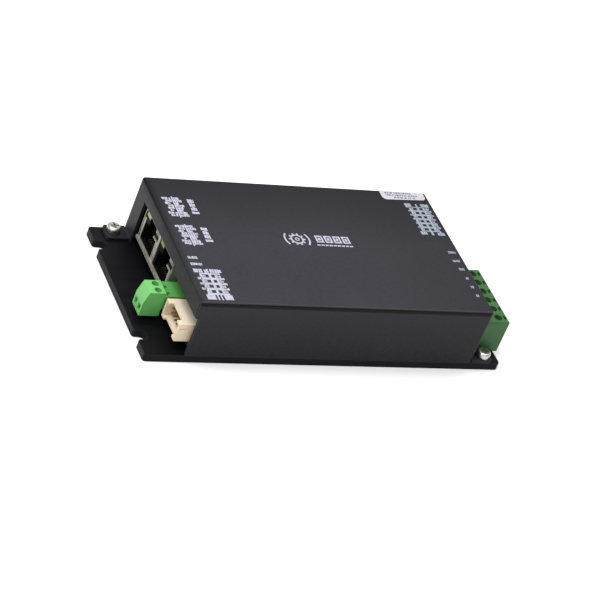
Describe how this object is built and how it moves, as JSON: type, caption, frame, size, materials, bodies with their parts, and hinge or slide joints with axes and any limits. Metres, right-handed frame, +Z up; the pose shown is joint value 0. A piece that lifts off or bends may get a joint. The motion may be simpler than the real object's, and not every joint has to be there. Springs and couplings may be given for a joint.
{
  "type": "stepper driver module",
  "caption": "Flat stepper motor driver with a folded black steel cover on a notched base plate, a double network jack, keyed headers and green plug-in screw terminals.",
  "frame": {"origin": "centre of the base plate's underside", "axes": "+X along the long side, away from the network jack; +Y towards the back long side; +Z up, away from the mounting surface"},
  "size_m": [0.1447, 0.0701, 0.0272],
  "materials": {
    "cover_black": "satin fine-textured black coating on folded steel sheet",
    "plate_black": "satin black anodised aluminium plate",
    "screw_nickel": "nickel-plated steel, semi-bright",
    "cage_nickel": "nickel-plated brass clamp cage",
    "board_black": "black solder mask on glass-epoxy board",
    "pad_grey": "soft silicone heat-transfer pad",
    "chip_black": "moulded epoxy package",
    "capacitor_can": "aluminium can with a plain sleeve",
    "ferrite": "dark grey moulded ferrite",
    "shield_nickel": "nickel-plated brass sheet, semi-bright",
    "jack_black": "black moulded insert",
    "led_amber": "unlit amber lamp lens",
    "led_clear": "unlit clear lamp lens",
    "contact_gold": "gold-plated spring wire",
    "header_cream": "cream moulded nylon",
    "pin_tin": "tin-plated pin",
    "plug_green": "bright green moulded polyamide",
    "block_green": "green moulded polyamide",
    "label_white": "white vinyl seal label"
  },
  "bodies": {
    "module": {"base_plate": "plate_black", "cover": "cover_black", "cover_screws": "screw_nickel", "cover_washers": "screw_nickel", "board_spacers": "screw_nickel", "board_screws": "screw_nickel", "circuit_board": "board_black", "thermal_pad": "pad_grey", "bridge_transistors": "chip_black", "bulk_capacitors": "capacitor_can", "power_inductor": "ferrite", "controller_chip": "chip_black", "line_driver_chips": "chip_black", "sense_resistors": "chip_black", "rj45_shield": "shield_nickel", "rj45_housing": "jack_black", "rj45_link_leds": "led_amber", "rj45_status_leds": "led_clear", "rj45_contacts": "contact_gold", "io_header": "header_cream", "io_header_pins": "contact_gold", "motor_header": "header_cream", "motor_header_pins": "pin_tin", "control_header": "plug_green", "control_header_pins": "pin_tin", "power_header": "block_green", "power_header_pins": "pin_tin", "seal_label": "label_white"},
    "control_plug": {"control_plug_body": "plug_green", "control_contacts": "pin_tin"},
    "power_plug": {"power_plug_body": "block_green", "power_contacts": "pin_tin"},
    "control_screw_1_body": {"control_screw_1": "screw_nickel"},
    "control_cage_1_body": {"control_cage_1": "cage_nickel"},
    "control_screw_2_body": {"control_screw_2": "screw_nickel"},
    "control_cage_2_body": {"control_cage_2": "cage_nickel"},
    "power_screw_1_body": {"power_screw_1": "screw_nickel"},
    "power_cage_1_body": {"power_cage_1": "cage_nickel"},
    "power_screw_2_body": {"power_screw_2": "screw_nickel"},
    "power_cage_2_body": {"power_cage_2": "cage_nickel"},
    "power_screw_3_body": {"power_screw_3": "screw_nickel"},
    "power_cage_3_body": {"power_cage_3": "cage_nickel"},
    "power_screw_4_body": {"power_screw_4": "screw_nickel"},
    "power_cage_4_body": {"power_cage_4": "cage_nickel"},
    "power_screw_5_body": {"power_screw_5": "screw_nickel"},
    "power_cage_5_body": {"power_cage_5": "cage_nickel"},
    "power_screw_6_body": {"power_screw_6": "screw_nickel"},
    "power_cage_6_body": {"power_cage_6": "cage_nickel"}
  },
  "joints": [
    {"name": "control_plug_slide", "type": "slide", "parent": "module", "child": "control_plug", "axis": [-1, 0, 0], "range_m": [0, 0.015]},
    {"name": "power_plug_slide", "type": "slide", "parent": "module", "child": "power_plug", "axis": [1, 0, 0], "range_m": [0, 0.018]},
    {"name": "control_screw_1_turn", "type": "hinge", "parent": "control_plug", "child": "control_screw_1_body", "pos_m": [-0.0638, -0.01445, 0.012], "axis": [0, 0, 1], "range_deg": [-1620, 0]},
    {"name": "control_cage_1_lift", "type": "slide", "parent": "control_plug", "child": "control_cage_1_body", "axis": [0, 0, 1], "range_m": [0, 0.0018]},
    {"name": "control_screw_2_turn", "type": "hinge", "parent": "control_plug", "child": "control_screw_2_body", "pos_m": [-0.0638, -0.01095, 0.012], "axis": [0, 0, 1], "range_deg": [-1620, 0]},
    {"name": "control_cage_2_lift", "type": "slide", "parent": "control_plug", "child": "control_cage_2_body", "axis": [0, 0, 1], "range_m": [0, 0.0018]},
    {"name": "power_screw_1_turn", "type": "hinge", "parent": "power_plug", "child": "power_screw_1_body", "pos_m": [0.0689, -0.0259, 0.013], "axis": [0, 0, 1], "range_deg": [-1728, 0]},
    {"name": "power_cage_1_lift", "type": "slide", "parent": "power_plug", "child": "power_cage_1_body", "axis": [0, 0, 1], "range_m": [0, 0.0024]},
    {"name": "power_screw_2_turn", "type": "hinge", "parent": "power_plug", "child": "power_screw_2_body", "pos_m": [0.0689, -0.0209, 0.013], "axis": [0, 0, 1], "range_deg": [-1728, 0]},
    {"name": "power_cage_2_lift", "type": "slide", "parent": "power_plug", "child": "power_cage_2_body", "axis": [0, 0, 1], "range_m": [0, 0.0024]},
    {"name": "power_screw_3_turn", "type": "hinge", "parent": "power_plug", "child": "power_screw_3_body", "pos_m": [0.0689, -0.0159, 0.013], "axis": [0, 0, 1], "range_deg": [-1728, 0]},
    {"name": "power_cage_3_lift", "type": "slide", "parent": "power_plug", "child": "power_cage_3_body", "axis": [0, 0, 1], "range_m": [0, 0.0024]},
    {"name": "power_screw_4_turn", "type": "hinge", "parent": "power_plug", "child": "power_screw_4_body", "pos_m": [0.0689, -0.0109, 0.013], "axis": [0, 0, 1], "range_deg": [-1728, 0]},
    {"name": "power_cage_4_lift", "type": "slide", "parent": "power_plug", "child": "power_cage_4_body", "axis": [0, 0, 1], "range_m": [0, 0.0024]},
    {"name": "power_screw_5_turn", "type": "hinge", "parent": "power_plug", "child": "power_screw_5_body", "pos_m": [0.0689, -0.0059, 0.013], "axis": [0, 0, 1], "range_deg": [-1728, 0]},
    {"name": "power_cage_5_lift", "type": "slide", "parent": "power_plug", "child": "power_cage_5_body", "axis": [0, 0, 1], "range_m": [0, 0.0024]},
    {"name": "power_screw_6_turn", "type": "hinge", "parent": "power_plug", "child": "power_screw_6_body", "pos_m": [0.0689, -0.0009, 0.013], "axis": [0, 0, 1], "range_deg": [-1728, 0]},
    {"name": "power_cage_6_lift", "type": "slide", "parent": "power_plug", "child": "power_cage_6_body", "axis": [0, 0, 1], "range_m": [0, 0.0024]}
  ],
  "couplings": [
    {"joint": "control_screw_1_turn", "follows": "control_cage_1_lift", "rad_per_m": -15708},
    {"joint": "control_screw_2_turn", "follows": "control_cage_2_lift", "rad_per_m": -15708},
    {"joint": "power_screw_1_turn", "follows": "power_cage_1_lift", "rad_per_m": -12566},
    {"joint": "power_screw_2_turn", "follows": "power_cage_2_lift", "rad_per_m": -12566},
    {"joint": "power_screw_3_turn", "follows": "power_cage_3_lift", "rad_per_m": -12566},
    {"joint": "power_screw_4_turn", "follows": "power_cage_4_lift", "rad_per_m": -12566},
    {"joint": "power_screw_5_turn", "follows": "power_cage_5_lift", "rad_per_m": -12566},
    {"joint": "power_screw_6_turn", "follows": "power_cage_6_lift", "rad_per_m": -12566}
  ]
}
